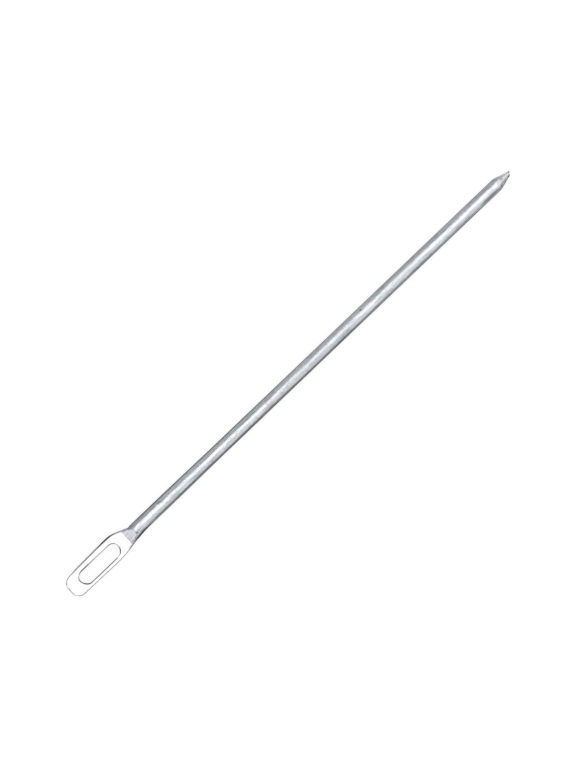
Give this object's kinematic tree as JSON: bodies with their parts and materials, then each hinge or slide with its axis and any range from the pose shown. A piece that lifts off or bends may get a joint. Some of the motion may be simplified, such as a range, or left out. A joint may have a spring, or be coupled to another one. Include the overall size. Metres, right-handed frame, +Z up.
{
  "type": "drawstring threader",
  "caption": "Slim round metal rod with a short blunt point and, at the other end, a flattened eye with a long slot, for pulling a drawstring, cord or elastic through a hem.",
  "frame": {"origin": "middle of the threader's length and width, on the surface that it lies on", "axes": "+X along the rod from the eye to the point, +Z up, square to the flat of the eye, +Y towards the eye's fuller side"},
  "size_m": [0.225, 0.0097, 0.0049],
  "materials": {
    "satin_metal": "satin, with fine drawing lines along the rod"
  },
  "bodies": {
    "root": {"threader_rod": "satin_metal"}
  },
  "joints": []
}
